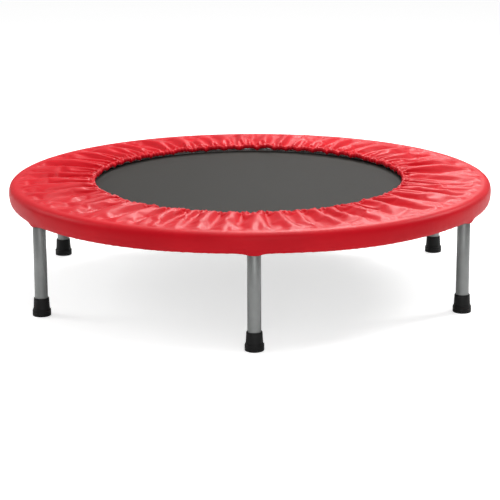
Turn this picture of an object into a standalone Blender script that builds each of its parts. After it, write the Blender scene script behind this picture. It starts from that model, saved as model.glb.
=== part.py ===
"""Mini trampoline: a round steel frame on six screw-in legs, with a sprung mat and a padded safety cover.

Run with: blender --background --python part.py
Units are metres, +Z is up, and the origin is on the floor at the centre of the ring. Leg 1 stands at -Y.
"""

import math

import bmesh
import bpy
from mathutils import Matrix, Vector

# Driving dimensions
COVER_RADIUS = 0.4825
RING_RADIUS = 0.464  # centreline of the frame tube
RING_HEIGHT = 0.197  # centreline of the frame tube above the floor
MAT_HEIGHT = 0.2035  # mat and springs: the springs hook into the upper part of the tube's inner side
TUBE_RADIUS = 0.0125
TUBE_WALL = 0.0015
LEGS = 6
SPRINGS = 30
SPRINGS_PER_BAY = SPRINGS // LEGS
THREAD_RADIUS = 0.0049
THREAD_LENGTH = 0.020
CLEARANCE = 0.0003  # between pieces that rest on each other

# Facets. Rings share one count, so that their flats stay parallel and their gaps even.
RING_SIDES = 60
TUBE_SIDES = 12
CAVITY_SIDES = 8
ROUND_SIDES = 12
NUT_SIDES = 6
WIRE_SIDES = 4
HOLE_SIDES = 8

# Leg socket: a nut welded through the underside of the ring, a loose washer, then the leg
TUBE_BOTTOM = RING_HEIGHT - TUBE_RADIUS
NUT_RADIUS = 0.0098
NUT_DROP = 0.003  # how far the nut stands out below the ring
NUT_HEIGHT = 0.0225
NUT_BORE_RADIUS = 0.0053
WASHER_RADIUS = 0.010
WASHER_BORE_RADIUS = 0.0054
WASHER_THICKNESS = 0.0015
NUT_BOTTOM = TUBE_BOTTOM - NUT_DROP
WASHER_TOP = NUT_BOTTOM - CLEARANCE
WASHER_BOTTOM = WASHER_TOP - WASHER_THICKNESS
LEG_TOP = WASHER_BOTTOM - CLEARANCE
LEG_RADIUS = 0.0125
LEG_WALL = 0.0013
LEG_PLUG = 0.003  # thickness of the plate that closes the leg and carries its stud

# Rubber foot
FOOT_BASE_RADIUS = 0.0177
FOOT_TOP_RADIUS = 0.0146
FOOT_HEIGHT = 0.035
FOOT_FLANGE_HEIGHT = 0.012
FOOT_FLOOR = 0.006
FOOT_EDGE = 0.001

# Spring: a closed coil between a hook in the ring and a hook on a mat ring
COIL_RADIUS = 0.0075
WIRE_RADIUS = 0.00115
COIL_INNER_END = 0.388  # distances from the trampoline's centre
COIL_OUTER_END = 0.443
HOOK_HOLE_RADIUS = 0.0032
HOOK_HOLE_DEPTH = 0.011
HOOK_TURN = 0.4562  # where the outer hook turns down inside the tube
HOOK_BEND_RADIUS = 0.0032
HOOK_BEND_CENTRE = 0.3736

# Mat: woven disc, folded edge band, and wire rings sewn into the band
MAT_RADIUS = 0.3502
MAT_THICKNESS = 0.0014
BAND_INNER_RADIUS = 0.332
BAND_OUTER_RADIUS = 0.353
BAND_LAYER = 0.0013
MAT_RING_APEX = 0.3732
MAT_RING_WIRE = 0.0013
MAT_RING_BASE_HALF = 0.012
MAT_RING_APEX_HALF = 0.0036

# Cover: flat padded top, rounded rim, plain skirt, and a rolled hem at each edge
COVER_TOP = 0.219
COVER_SHEET = 0.0014
OPENING_RADIUS = 0.315
SKIRT_BOTTOM = 0.181
HEM_HEIGHT = 0.005

MATERIALS = {
    # name: (colour, roughness, metallic)
    "frame_steel": ((0.30, 0.31, 0.31), 0.40, 0.6),
    "leg_steel": ((0.26, 0.28, 0.27), 0.38, 0.6),
    "zinc": ((0.62, 0.63, 0.64), 0.30, 1.0),
    "mat_weave": ((0.030, 0.031, 0.028), 0.62, 0.0),
    "band_webbing": ((0.012, 0.012, 0.012), 0.85, 0.0),
    "cover_vinyl": ((0.66, 0.012, 0.020), 0.36, 0.0),
    "foam": ((0.80, 0.80, 0.78), 0.90, 0.0),
    "elastic": ((0.70, 0.70, 0.68), 0.85, 0.0),
    "rubber": ((0.010, 0.010, 0.010), 0.55, 0.0),
}


def clear_scene():
    for obj in list(bpy.data.objects):
        bpy.data.objects.remove(obj)


def material(name):
    found = bpy.data.materials.get(name)
    if found:
        return found
    colour, roughness, metallic = MATERIALS[name]
    made = bpy.data.materials.new(name)
    made.use_nodes = True
    shader = made.node_tree.nodes["Principled BSDF"]
    shader.inputs["Base Color"].default_value = (*colour, 1.0)
    shader.inputs["Roughness"].default_value = roughness
    shader.inputs["Metallic"].default_value = metallic
    made.diffuse_color = (*colour, 1.0)
    return made


def mesh_from(name, bm):
    """Ends the bmesh and returns its mesh, shaded smooth across gentle bends only."""
    bmesh.ops.recalc_face_normals(bm, faces=bm.faces)
    mesh = bpy.data.meshes.new(name)
    bm.to_mesh(mesh)
    bm.free()
    mesh.shade_smooth()
    mesh.set_sharp_from_angle(angle=math.radians(35))
    return mesh


def place(name, mesh, finish, location=(0, 0, 0), angle=0.0, parent=None):
    """Makes one named part, turned by angle about +Z."""
    obj = bpy.data.objects.new(name, mesh)
    if not mesh.materials:
        mesh.materials.append(material(finish))
    obj.location = location
    obj.rotation_euler = (0, 0, angle)
    obj.parent = parent
    bpy.context.scene.collection.objects.link(obj)
    return obj


def turned(name, outline, sides):
    """A closed outline of (radius, height) points, spun about +Z. Points on the axis close the solid."""
    bm = bmesh.new()
    corners = [bm.verts.new((radius, 0, height)) for radius, height in outline]
    loop = [bm.edges.new(pair) for pair in zip(corners, corners[1:])]
    if outline[0][0] > 0 or outline[-1][0] > 0:
        loop.append(bm.edges.new((corners[-1], corners[0])))
    bmesh.ops.spin(
        bm, geom=corners + loop, cent=(0, 0, 0), axis=(0, 0, 1), angle=math.tau,
        steps=sides, use_merge=True, use_normal_flip=False, use_duplicate=False,
    )
    bmesh.ops.remove_doubles(bm, verts=bm.verts, dist=1e-6)
    return mesh_from(name, bm)


def circle_outline(radius, height, reach, sides):
    """A round section of a ring, as (radius, height) points."""
    turns = [math.tau * i / sides for i in range(sides)]
    return [(radius + reach * math.cos(t), height + reach * math.sin(t)) for t in turns]


def swept(bm, path, radius, sides=WIRE_SIDES):
    """Adds a round wire along a flat path, with filled ends."""
    points = [Vector(p) for p in path]
    flat_normal = (points[1] - points[0]).cross(points[-1] - points[0])
    for before, here, after in zip(points, points[1:], points[2:]):
        if flat_normal.length < 1e-9:
            flat_normal = (here - before).cross(after - here)
    flat_normal.normalize()
    loops = []
    for i, point in enumerate(points):
        ahead = (points[min(i + 1, len(points) - 1)] - point).normalized()
        behind = (point - points[max(i - 1, 0)]).normalized()
        side = flat_normal.cross((ahead + behind).normalized())
        turns = [math.tau * (k + 0.5) / sides for k in range(sides)]
        loops.append([
            bm.verts.new(point + radius * (side * math.cos(t) + flat_normal * math.sin(t)))
            for t in turns
        ])
    for near, far in zip(loops, loops[1:]):
        for k in range(sides):
            bm.faces.new((near[k], near[(k + 1) % sides], far[(k + 1) % sides], far[k]))
    bm.faces.new(loops[0])
    bm.faces.new(loops[-1])


def rods(name, places, radius, length, sides, along):
    """One helper mesh of equal rods that point along 'x' or 'z' from each (angle, distance, height).

    Each is rolled by a quarter of a side, so that none of its edges meets an edge of the ring.
    """
    bm = bmesh.new()
    roll = Matrix.Rotation(math.tau / sides / 4, 4, "Z")
    lift = Matrix.Translation((0, 0, length / 2))
    lay = Matrix.Rotation(math.pi / 2, 4, "Y") if along == "x" else Matrix.Identity(4)
    for angle, distance, height in places:
        turn = Matrix.Rotation(angle, 4, "Z")
        shift = Matrix.Translation((distance, 0, height))
        bmesh.ops.create_cone(
            bm, cap_ends=True, segments=sides, radius1=radius, radius2=radius, depth=length,
            matrix=turn @ shift @ lay @ lift @ roll,
        )
    return mesh_from(name, bm)


def helper(name, mesh):
    """A cutter or an addition for a Boolean. It isn't a part."""
    obj = bpy.data.objects.new(name, mesh)
    bpy.context.scene.collection.objects.link(obj)
    obj.hide_render = True
    obj.display_type = "WIRE"
    return obj


def combine(obj, operation, other):
    step = obj.modifiers.new(other.name, "BOOLEAN")
    step.operation = operation
    step.solver = "EXACT"
    step.object = other


def baked(obj):
    """The object's mesh with its modifiers applied, for parts that repeat."""
    graph = bpy.context.evaluated_depsgraph_get()
    return bpy.data.meshes.new_from_object(obj.evaluated_get(graph))


def leg_angle(number):
    return math.radians(-90 + 360 / LEGS * (number - 1))


def spring_angle(number):
    """Springs stand in even steps, with each leg midway between two of them."""
    return math.radians(-90 + 360 / SPRINGS * (number - 0.5))


def build_frame():
    """Hollow ring with a nut welded through its underside at each leg and a hole for each spring hook."""
    ring = place(
        "frame_ring",
        turned("frame_ring", circle_outline(RING_RADIUS, RING_HEIGHT, TUBE_RADIUS, TUBE_SIDES), RING_SIDES),
        "frame_steel",
    )
    inside = circle_outline(RING_RADIUS, RING_HEIGHT, TUBE_RADIUS - TUBE_WALL, CAVITY_SIDES)
    combine(ring, "DIFFERENCE", helper("ring_cavity", turned("ring_cavity", inside, RING_SIDES)))

    sockets = [(leg_angle(n), RING_RADIUS, NUT_BOTTOM) for n in range(1, LEGS + 1)]
    nuts = rods("nuts", sockets, NUT_RADIUS, NUT_HEIGHT, NUT_SIDES, "z")
    combine(ring, "UNION", helper("nuts", nuts))
    below = [(angle, radius, height - TUBE_WALL) for angle, radius, height in sockets]
    bores = rods("nut_bores", below, NUT_BORE_RADIUS, NUT_HEIGHT + 2 * TUBE_WALL, ROUND_SIDES, "z")
    combine(ring, "DIFFERENCE", helper("nut_bores", bores))

    start = RING_RADIUS - TUBE_RADIUS - TUBE_WALL
    hooks = [(spring_angle(n), start, MAT_HEIGHT) for n in range(1, SPRINGS + 1)]
    holes = rods("hook_holes", hooks, HOOK_HOLE_RADIUS, HOOK_HOLE_DEPTH, HOLE_SIDES, "x")
    combine(ring, "DIFFERENCE", helper("hook_holes", holes))


def build_legs():
    """Six legs. Each washer, leg and foot shares an empty on the leg's own axis."""
    inner = LEG_RADIUS - LEG_WALL
    leg = turned("leg", [
        (0, LEG_TOP + THREAD_LENGTH),
        (THREAD_RADIUS, LEG_TOP + THREAD_LENGTH),
        (THREAD_RADIUS, LEG_TOP),
        (LEG_RADIUS, LEG_TOP),
        (LEG_RADIUS, FOOT_FLOOR + CLEARANCE),
        (inner, FOOT_FLOOR + CLEARANCE),
        (inner, LEG_TOP - LEG_PLUG),
        (0, LEG_TOP - LEG_PLUG),
    ], ROUND_SIDES)
    socket = LEG_RADIUS + CLEARANCE
    foot = turned("foot", [
        (0, 0),
        (FOOT_BASE_RADIUS - FOOT_EDGE, 0),
        (FOOT_BASE_RADIUS, FOOT_EDGE),
        (FOOT_BASE_RADIUS, FOOT_FLANGE_HEIGHT),
        (FOOT_BASE_RADIUS - 1.5 * FOOT_EDGE, FOOT_FLANGE_HEIGHT + FOOT_EDGE),
        (FOOT_TOP_RADIUS, FOOT_HEIGHT),
        (socket, FOOT_HEIGHT),
        (socket, FOOT_FLOOR),
        (0, FOOT_FLOOR),
    ], ROUND_SIDES)
    washer = turned("washer", [
        (WASHER_BORE_RADIUS, WASHER_BOTTOM),
        (WASHER_RADIUS, WASHER_BOTTOM),
        (WASHER_RADIUS, WASHER_TOP),
        (WASHER_BORE_RADIUS, WASHER_TOP),
    ], ROUND_SIDES)
    for n in range(1, LEGS + 1):
        angle = leg_angle(n)
        axis = bpy.data.objects.new(f"leg_axis_{n}", None)
        axis.location = (RING_RADIUS * math.cos(angle), RING_RADIUS * math.sin(angle), 0)
        bpy.context.scene.collection.objects.link(axis)
        place(f"leg_{n}", leg, "leg_steel", parent=axis)
        place(f"leg_foot_{n}", foot, "rubber", parent=axis)
        place(f"leg_washer_{n}", washer, "zinc", parent=axis)


def spring_mesh():
    """One spring along -X from the hole in the ring, which is its origin."""
    def here(distance, height):
        return (distance - RING_RADIUS + TUBE_RADIUS, 0, height)

    wall = COIL_RADIUS - WIRE_RADIUS
    coil_start, coil_end = here(COIL_INNER_END, 0)[0], here(COIL_OUTER_END, 0)[0]
    tube = turned("coil", [
        (COIL_RADIUS - 2 * WIRE_RADIUS, coil_start),
        (COIL_RADIUS, coil_start),
        (COIL_RADIUS, coil_end),
        (COIL_RADIUS - 2 * WIRE_RADIUS, coil_end),
    ], HOLE_SIDES)
    tube.transform(Matrix.Rotation(math.pi / 2, 4, "Y"))
    coil = helper("coil", tube)

    bm = bmesh.new()
    swept(bm, [
        here(COIL_OUTER_END - 0.002, wall),
        here(COIL_OUTER_END + 0.0015, wall),
        here(COIL_OUTER_END + 0.0065, 0),
        here(HOOK_TURN, -0.0003),
        here(HOOK_TURN + 0.0022, -0.0050),
    ], WIRE_RADIUS)
    outer_hook = helper("outer_hook", mesh_from("outer_hook", bm))

    bend = [math.radians(a) for a in (90, 135, 180, 225, 270)]
    bm = bmesh.new()
    swept(bm, [
        here(COIL_INNER_END + 0.002, wall),
        here(COIL_INNER_END - 0.002, wall),
        here(COIL_INNER_END - 0.010, HOOK_BEND_RADIUS),
        *[
            here(HOOK_BEND_CENTRE + HOOK_BEND_RADIUS * math.cos(a), HOOK_BEND_RADIUS * math.sin(a))
            for a in bend
        ],
        here(HOOK_BEND_CENTRE + 0.0024, -0.0030),
    ], WIRE_RADIUS)
    inner_hook = helper("inner_hook", mesh_from("inner_hook", bm))

    combine(coil, "UNION", outer_hook)
    combine(coil, "UNION", inner_hook)
    mesh = baked(coil)
    for obj in (coil, outer_hook, inner_hook):
        bpy.data.objects.remove(obj)
    return mesh


def build_springs():
    mesh = spring_mesh()
    reach = RING_RADIUS - TUBE_RADIUS
    for n in range(1, SPRINGS + 1):
        angle = spring_angle(n)
        spot = (reach * math.cos(angle), reach * math.sin(angle), MAT_HEIGHT)
        place(f"spring_{n:02d}", mesh, "zinc", spot, angle)


def build_mat():
    """Woven disc, and a folded band round its edge that carries one wire ring for each spring."""
    half = MAT_THICKNESS / 2
    centre = (0, 0, MAT_HEIGHT)
    disc = turned("jump_mat", [(0, half), (MAT_RADIUS, half), (MAT_RADIUS, -half), (0, -half)], RING_SIDES)
    place("jump_mat", disc, "mat_weave", centre)

    gap = half + CLEARANCE
    outside = gap + BAND_LAYER
    web = MAT_RADIUS + CLEARANCE
    band = turned("mat_edge_band", [
        (BAND_INNER_RADIUS, outside),
        (BAND_OUTER_RADIUS, outside),
        (BAND_OUTER_RADIUS, -outside),
        (BAND_INNER_RADIUS, -outside),
        (BAND_INNER_RADIUS, -gap),
        (web, -gap),
        (web, gap),
        (BAND_INNER_RADIUS, gap),
    ], RING_SIDES)
    edge = place("mat_edge_band", band, "band_webbing", centre)

    bm = bmesh.new()
    sewn_end = web + 0.001
    for n in range(1, SPRINGS + 1):
        turn = Matrix.Rotation(spring_angle(n), 3, "Z")
        path = [
            (sewn_end, -MAT_RING_BASE_HALF, 0),
            (MAT_RING_APEX, -MAT_RING_APEX_HALF, 0),
            (MAT_RING_APEX, MAT_RING_APEX_HALF, 0),
            (sewn_end, MAT_RING_BASE_HALF, 0),
        ]
        swept(bm, [turn @ Vector(p) for p in path], MAT_RING_WIRE)
    rings = helper("mat_rings", mesh_from("mat_rings", bm))
    rings.location = centre
    combine(edge, "UNION", rings)


def build_cover():
    """Vinyl cover with its foam pad and the elastic cord in each hem. The lot lifts off upwards."""
    rim = COVER_RADIUS
    skin = COVER_SHEET
    inner_top = COVER_TOP - 0.001
    hem_floor = inner_top - 0.0082
    hem_end = OPENING_RADIUS + 0.0075
    lip = RING_RADIUS + TUBE_RADIUS + 0.0005
    place("pad_cover", turned("pad_cover", [
        (OPENING_RADIUS, inner_top - 0.0045),
        (OPENING_RADIUS + 0.002, inner_top - 0.001),
        (OPENING_RADIUS + 0.006, inner_top),
        (rim - 0.0165, COVER_TOP),
        (rim - 0.006, COVER_TOP - 0.002),
        (rim - 0.0015, COVER_TOP - 0.0065),
        (rim, COVER_TOP - 0.013),
        (rim, SKIRT_BOTTOM),
        (lip, SKIRT_BOTTOM),
        (lip, SKIRT_BOTTOM + HEM_HEIGHT),
        (lip + 0.0007, SKIRT_BOTTOM + HEM_HEIGHT),
        (lip + 0.0007, SKIRT_BOTTOM + 0.001),
        (rim - skin, SKIRT_BOTTOM + 0.001),
        (rim - skin, COVER_TOP - 0.0133),
        (rim - 0.0028, COVER_TOP - 0.0074),
        (rim - 0.0068, COVER_TOP - 0.0033),
        (rim - 0.0168, COVER_TOP - skin),
        (OPENING_RADIUS + 0.007, inner_top - skin),
        (OPENING_RADIUS + 0.0025, inner_top - 0.0024),
        (OPENING_RADIUS + skin, inner_top - 0.0045),
        (OPENING_RADIUS + 0.002, hem_floor + 0.0012),
        (hem_end, hem_floor + 0.0012),
        (hem_end, hem_floor),
        (OPENING_RADIUS + 0.0012, hem_floor),
    ], RING_SIDES), "cover_vinyl")

    tube_top = RING_HEIGHT + TUBE_RADIUS
    spring_top = MAT_HEIGHT + COIL_RADIUS
    foam_inside = lip + 0.0002
    foam_outside = rim - skin - CLEARANCE
    foam_top = COVER_TOP - 0.0030
    place("pad_foam", turned("pad_foam", [
        (0.345, spring_top + 2 * CLEARANCE),
        (COIL_OUTER_END + 0.003, spring_top + 2 * CLEARANCE),
        (COIL_OUTER_END + 0.007, tube_top + 2 * CLEARANCE),
        (foam_inside, tube_top + 2 * CLEARANCE),
        (foam_inside, SKIRT_BOTTOM + HEM_HEIGHT + 0.0015),
        (foam_outside, SKIRT_BOTTOM + HEM_HEIGHT + 0.0015),
        (foam_outside, COVER_TOP - 0.0140),
        (rim - 0.0036, COVER_TOP - 0.0086),
        (rim - 0.0170, foam_top),
        (0.345, inner_top - 0.0030),
    ], RING_SIDES), "foam")

    inner_cord = circle_outline(OPENING_RADIUS + 0.0046, inner_top - 0.0048, 0.0016, WIRE_SIDES)
    place("inner_hem_elastic", turned("inner_hem_elastic", inner_cord, RING_SIDES), "elastic")
    outer_cord = circle_outline(lip + 0.0023, SKIRT_BOTTOM + 0.0031, 0.0011, WIRE_SIDES)
    place("outer_hem_elastic", turned("outer_hem_elastic", outer_cord, RING_SIDES), "elastic")


def main():
    clear_scene()
    build_frame()
    build_legs()
    build_springs()
    build_mat()
    build_cover()


main()
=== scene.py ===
"""Looks of the mini trampoline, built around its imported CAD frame.

Shapes are measured in millimetres, and scaled to metres as their meshes are made. Textures, lights and the
camera are in metres. +Z is up, round pieces share the Z axis, and the front leg stands at -Y.
Order: measures, mesh helpers, materials, cover, foam and elastics, mat, springs, ring, legs, stage.
"""

import math
from contextlib import contextmanager

import bmesh
import bpy
import numpy as np
from mathutils import Matrix, Vector


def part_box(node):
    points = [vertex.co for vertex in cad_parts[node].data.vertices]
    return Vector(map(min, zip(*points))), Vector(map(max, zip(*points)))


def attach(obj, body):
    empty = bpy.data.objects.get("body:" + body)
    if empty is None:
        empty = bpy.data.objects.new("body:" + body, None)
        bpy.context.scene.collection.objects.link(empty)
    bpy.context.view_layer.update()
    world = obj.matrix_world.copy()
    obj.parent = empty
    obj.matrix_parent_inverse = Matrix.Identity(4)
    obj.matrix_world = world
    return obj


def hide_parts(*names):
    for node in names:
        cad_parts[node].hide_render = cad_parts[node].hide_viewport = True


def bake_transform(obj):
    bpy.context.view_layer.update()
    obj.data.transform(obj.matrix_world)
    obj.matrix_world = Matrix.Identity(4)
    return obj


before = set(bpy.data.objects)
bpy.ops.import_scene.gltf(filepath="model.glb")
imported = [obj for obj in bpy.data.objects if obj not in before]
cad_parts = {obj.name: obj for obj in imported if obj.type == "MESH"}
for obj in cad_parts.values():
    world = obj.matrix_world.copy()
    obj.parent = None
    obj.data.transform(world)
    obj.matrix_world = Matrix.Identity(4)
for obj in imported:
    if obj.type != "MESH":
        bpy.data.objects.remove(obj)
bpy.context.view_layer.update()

MM = 0.001
TAU = math.tau

# ---------------------------------------------------------------- measures, read from the frame


def box_mm(node):
    low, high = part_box(node)
    return np.array(low) / MM, np.array(high) / MM


RING_LOW, RING_HIGH = box_mm("frame_ring")
MAT_LOW, MAT_HIGH = box_mm("jump_mat")
BAND_LOW, BAND_HIGH = box_mm("mat_edge_band")
MAT_HEIGHT = (MAT_LOW[2] + MAT_HIGH[2]) / 2
MAT_RADIUS = MAT_HIGH[0]
RING_RADIUS = -sum(box_mm("leg_1"))[1] / 2
TUBE_RADIUS = RING_HIGH[0] - RING_RADIUS
RING_HEIGHT = RING_HIGH[2] - TUBE_RADIUS
RING_INNER = RING_RADIUS - TUBE_RADIUS
COVER_HIGH = box_mm("pad_cover")[1]
COVER_RADIUS, COVER_TOP = COVER_HIGH[0], COVER_HIGH[2]
LEG_COUNT = sum(name.startswith("leg_washer_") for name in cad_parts)
SPRING_COUNT = sum(name.startswith("spring_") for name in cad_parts)
LEG_ANGLES = [math.radians(-90) + TAU * k / LEG_COUNT for k in range(LEG_COUNT)]
SPRING_ANGLES = [math.radians(-90) + TAU * (k + 0.5) / SPRING_COUNT for k in range(SPRING_COUNT)]

# The rest of the design's sizes, in millimetres
WIRE_RADIUS = 1.15
MAT_WIRE_RADIUS = 1.3
MAT_RING_APEX = 373.2
BAND_INNER, BAND_OUTER = 332.0, 353.0
HOOK_HOLE_RADIUS = 3.2
COIL_INNER, COIL_OUTER = 388.0, 443.0  # where a spring's coil starts and ends
COIL_RADIUS = 6.35  # from the coil's axis to its wire's
THREAD_PITCH = 1.5  # of the legs' studs and the ring's nuts
REST_GAP = 0.6  # between the foam and what it lies on

# ---------------------------------------------------------------- mesh helpers, in millimetres


def around(columns):
    return TAU * np.arange(columns) / columns


def on_circle(radius, height, columns):
    """Rows of points from lists of radii and heights, each a number or one value for every column."""
    angles = around(columns)
    east, north = np.cos(angles), np.sin(angles)
    return np.array([np.stack([r * east, r * north, z + 0 * angles], -1) for r, z in zip(radius, height)])


def grid_mesh(name, rows, closed=False, uv=None):
    """A mesh over an array of points [row, column, xyz]. Columns always join up, and rows do if closed."""
    count, columns = rows.shape[:2]
    mesh = bpy.data.meshes.new(name)
    row_ends = count if closed else count - 1
    i, j = np.meshgrid(np.arange(row_ends), np.arange(columns), indexing="ij")
    i_next, j_next = (i + 1) % count, (j + 1) % columns
    row, row_next = i * columns, i_next * columns
    quads = np.stack([row + j, row_next + j, row_next + j_next, row + j_next], -1)
    mesh.from_pydata((rows.reshape(-1, 3) * MM).tolist(), [], quads.reshape(-1, 4).tolist())
    if uv is not None:
        layer = mesh.uv_layers.new(name="UVMap")
        u_end = np.where(j_next == 0, columns, j_next)
        v_end = np.where(i_next == 0, count, i_next)
        corners = np.stack([np.stack([j, i], -1), np.stack([j, v_end], -1),
                            np.stack([u_end, v_end], -1), np.stack([u_end, i], -1)], -2)
        layer.data.foreach_set("uv", (corners * np.array(uv)).astype(np.float32).ravel())
    mesh.update()
    mesh.shade_smooth()
    return mesh


def spun(name, outline, sides, closed=True, uv=None, sharp=40):
    """A closed (radius, height) outline turned about Z. An open one has to start and end on the axis."""
    mesh = grid_mesh(name, on_circle(*zip(*outline), sides), closed=closed, uv=uv)
    if not closed:
        weld(mesh)
    face_out(mesh)
    mesh.set_sharp_from_angle(angle=math.radians(sharp))
    return mesh


@contextmanager
def edited(mesh):
    """Lends out a mesh for editing with bmesh, and writes it back."""
    bm = bmesh.new()
    bm.from_mesh(mesh)
    yield bm
    bm.to_mesh(mesh)
    bm.free()


def weld(mesh):
    """Joins the points that meet, such as the many that a spun outline leaves on its axis."""
    with edited(mesh) as bm:
        bmesh.ops.remove_doubles(bm, verts=bm.verts, dist=0.002 * MM)


def face_out(mesh):
    """Turns every face outwards."""
    with edited(mesh) as bm:
        bmesh.ops.recalc_face_normals(bm, faces=bm.faces)


def unit(vectors):
    return vectors / np.linalg.norm(vectors, axis=-1, keepdims=True)


def smooth_path(points, steps):
    """A curve through the points, with that many steps in each stretch (Catmull-Rom)."""
    points = np.array(points, float)
    padded = np.concatenate([[2 * points[0] - points[1]], points, [2 * points[-1] - points[-2]]])
    out = []
    for k in range(len(points) - 1):
        a, b, c, d = padded[k:k + 4]
        t = (np.arange(steps) / steps)[:, None]
        square = 2 * a - 5 * b + 4 * c - d
        cube = 3 * b - a - 3 * c + d
        out.append(0.5 * (2 * b + (c - a) * t + square * t**2 + cube * t**3))
    return np.concatenate(out + [points[-1:]])


def wire_mesh(name, path, radius, sides=8, closed=False):
    """A round wire along a path, with its section carried along without twist and its ends capped."""
    path = np.array(path, float)
    ahead = np.roll(path, -1, 0) - path
    behind = path - np.roll(path, 1, 0)
    if not closed:
        ahead[-1], behind[0] = behind[-1], ahead[0]
    along = unit(unit(ahead) + unit(behind))
    side = np.cross(along[0], [0.0, 0.0, 1.0])
    if np.linalg.norm(side) < 0.1:
        side = np.cross(along[0], [1.0, 0.0, 0.0])
    turns = around(sides)
    rows = []
    for point, direction in zip(path, along):
        side = unit(side - direction * (side @ direction))
        up = np.cross(direction, side)
        rows.append(point + radius * (np.cos(turns)[:, None] * side + np.sin(turns)[:, None] * up))
    mesh = grid_mesh(name, np.array(rows), closed=closed)
    if not closed:
        cap_ends(mesh)
    face_out(mesh)
    return mesh


def cap_ends(mesh):
    with edited(mesh) as bm:
        bmesh.ops.holes_fill(bm, edges=[e for e in bm.edges if e.is_boundary], sides=0)


def joined(name, meshes):
    """One mesh made of several. The ones it is made of are removed."""
    bm = bmesh.new()
    for mesh in meshes:
        bm.from_mesh(mesh)
        bpy.data.meshes.remove(mesh)
    whole = bpy.data.meshes.new(name)
    bm.to_mesh(whole)
    bm.free()
    return whole


def turned_to(mesh, angle):
    """A copy of a mesh turned about Z."""
    copy = mesh.copy()
    copy.transform(Matrix.Rotation(angle, 4, "Z"))
    return copy


def repeated(name, mesh, angles):
    """One mesh of copies turned to these angles. The mesh that is copied is removed."""
    whole = joined(name, [turned_to(mesh, angle) for angle in angles])
    bpy.data.meshes.remove(mesh)
    return whole


def piece(name, mesh, finish, nodes=()):
    obj = bpy.data.objects.new(name, mesh)
    bpy.context.scene.collection.objects.link(obj)
    obj.data.materials.clear()
    obj.data.materials.append(finish)
    if nodes:
        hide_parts(*nodes)
    return obj


# ---------------------------------------------------------------- materials


class Finish:
    """A Principled material and short ways to add nodes to it."""

    def __init__(self, name, colour, roughness, metallic=0.0, **inputs):
        self.material = bpy.data.materials.new(name)
        self.material.use_nodes = True
        self.tree = self.material.node_tree
        self.shader = self.tree.nodes["Principled BSDF"]
        self.shader.inputs["Base Color"].default_value = (*colour, 1)
        self.shader.inputs["Roughness"].default_value = roughness
        self.shader.inputs["Metallic"].default_value = metallic
        for key, value in inputs.items():
            self.shader.inputs[key.replace("_", " ")].default_value = value
        self.material.diffuse_color = (*colour, 1)
        self.position = self.node("ShaderNodeNewGeometry").outputs["Position"]

    def node(self, kind, **settings):
        made = self.tree.nodes.new(kind)
        for key, value in settings.items():
            setattr(made, key, value)
        return made

    def link(self, a, b):
        self.tree.links.new(a, b)

    def math(self, operation, *values):
        made = self.node("ShaderNodeMath", operation=operation)
        for socket, value in zip(made.inputs, values):
            if isinstance(value, (int, float)):
                socket.default_value = value
            else:
                self.link(value, socket)
        return made.outputs[0]

    def stretched(self, scale, source=None):
        mapping = self.node("ShaderNodeMapping")
        mapping.inputs["Scale"].default_value = scale
        self.link(source or self.position, mapping.inputs["Vector"])
        return mapping.outputs[0]

    def uv(self):
        return self.node("ShaderNodeUVMap", uv_map="UVMap").outputs[0]

    def noise(self, scale, detail=2.0, vector=None, roughness=0.5):
        made = self.node("ShaderNodeTexNoise")
        made.inputs["Scale"].default_value = scale
        made.inputs["Detail"].default_value = detail
        made.inputs["Roughness"].default_value = roughness
        self.link(vector or self.position, made.inputs["Vector"])
        return made.outputs["Fac"]

    def cells(self, scale, vector=None, feature="F1"):
        made = self.node("ShaderNodeTexVoronoi", feature=feature)
        made.inputs["Scale"].default_value = scale
        self.link(vector or self.position, made.inputs["Vector"])
        return made.outputs["Distance"]

    def spread(self, value, low, high):
        """Maps 0..1 to low..high."""
        made = self.node("ShaderNodeMapRange")
        made.inputs["To Min"].default_value = low
        made.inputs["To Max"].default_value = high
        self.link(value, made.inputs["Value"])
        return made.outputs["Result"]

    def colours(self, value, *stops):
        """Colours the shader by a ramp of (place, (r, g, b))."""
        ramp = self.node("ShaderNodeValToRGB")
        while len(ramp.color_ramp.elements) < len(stops):
            ramp.color_ramp.elements.new(0.5)
        for element, (place, colour) in zip(ramp.color_ramp.elements, stops):
            element.position = place
            element.color = (*colour, 1)
        self.link(value, ramp.inputs["Fac"])
        self.link(ramp.outputs["Color"], self.shader.inputs["Base Color"])
        return self

    def rough(self, value, low, high):
        self.link(self.spread(value, low, high), self.shader.inputs["Roughness"])
        return self

    def bumps(self, *layers):
        """Stacks bumps of (height, distance in metres, strength)."""
        before = None
        for height, distance, strength in layers:
            bump = self.node("ShaderNodeBump")
            bump.inputs["Distance"].default_value = distance
            bump.inputs["Strength"].default_value = strength
            self.link(height, bump.inputs["Height"])
            if before:
                self.link(before, bump.inputs["Normal"])
            before = bump.outputs["Normal"]
        self.link(before, self.shader.inputs["Normal"])
        return self


def vinyl():
    """Red PVC sheet: satin, with a fine grain and slight creases that run out from the gathered hem."""
    finish = Finish("red_vinyl", (0.58, 0.003, 0.011), 0.4, Specular_IOR_Level=0.15)
    broad = finish.noise(9, 3)
    finish.colours(broad, (0.30, (0.54, 0.002, 0.010)), (0.72, (0.63, 0.004, 0.013)))
    finish.rough(finish.noise(60, 4), 0.38, 0.50)
    grain = finish.cells(1100)
    creases = finish.noise(1.0, 3, finish.stretched((260, 5, 1), finish.uv()))
    finish.bumps((creases, 0.0012, 0.22), (finish.noise(90, 3), 0.0010, 0.10), (grain, 0.00025, 0.16))
    return finish.material


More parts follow.
